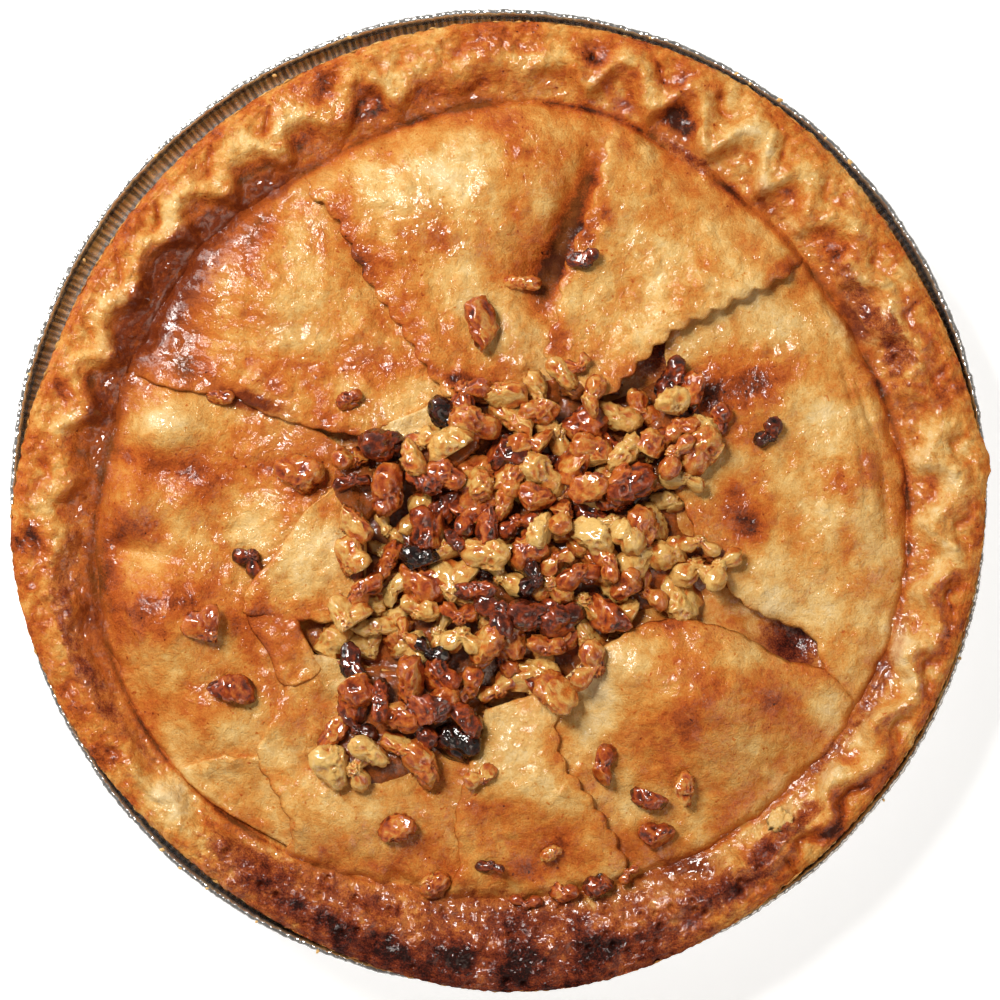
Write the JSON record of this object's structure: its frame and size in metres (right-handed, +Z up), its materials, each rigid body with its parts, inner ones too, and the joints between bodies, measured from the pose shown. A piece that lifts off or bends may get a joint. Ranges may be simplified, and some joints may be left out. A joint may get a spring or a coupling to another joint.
{
  "type": "walnut-topped apple pie in a foil tin",
  "caption": "Round baked fruit pie with a crimped edge, overlapping scalloped lid leaves and a heap of glazed walnut pieces, in its own round foil tin.",
  "frame": {"origin": "middle of the tin's flat base, on the surface that it stands on", "axes": "+Z up; -Y towards the front of the pie, where the burnt sugar is; +X to the right seen from the front"},
  "size_m": [0.2464, 0.2466, 0.0569],
  "materials": {
    "foil": "bright crinkled aluminium foil",
    "pastry": null,
    "filling": null,
    "walnut": null
  },
  "bodies": {
    "root": {"foil_tin": "foil", "bottom_crust": "pastry", "apple_filling": "filling", "lid_leaf_back": "pastry", "lid_leaf_back_right": "pastry", "lid_leaf_right": "pastry", "lid_leaf_front_right": "pastry", "lid_leaf_front": "pastry", "lid_leaf_front_left": "pastry", "lid_leaf_front_small": "pastry", "lid_leaf_left": "pastry", "lid_leaf_left_under": "pastry", "lid_leaf_left_inner": "pastry", "lid_leaf_back_left": "pastry", "lid_leaf_middle": "pastry", "walnut_heap": "walnut", "walnut_01": "walnut", "walnut_02": "walnut", "walnut_03": "walnut", "walnut_04": "walnut", "walnut_05": "walnut", "walnut_06": "walnut", "walnut_07": "walnut", "walnut_08": "walnut", "walnut_09": "walnut", "walnut_10": "walnut", "walnut_11": "walnut", "walnut_12": "walnut", "walnut_13": "walnut", "walnut_14": "walnut", "walnut_15": "walnut", "walnut_16": "walnut", "walnut_17": "walnut", "walnut_18": "walnut", "walnut_19": "walnut", "walnut_20": "walnut", "walnut_21": "walnut", "walnut_22": "walnut", "walnut_23": "walnut", "walnut_24": "walnut", "apple_chunk": "filling"}
  },
  "joints": []
}
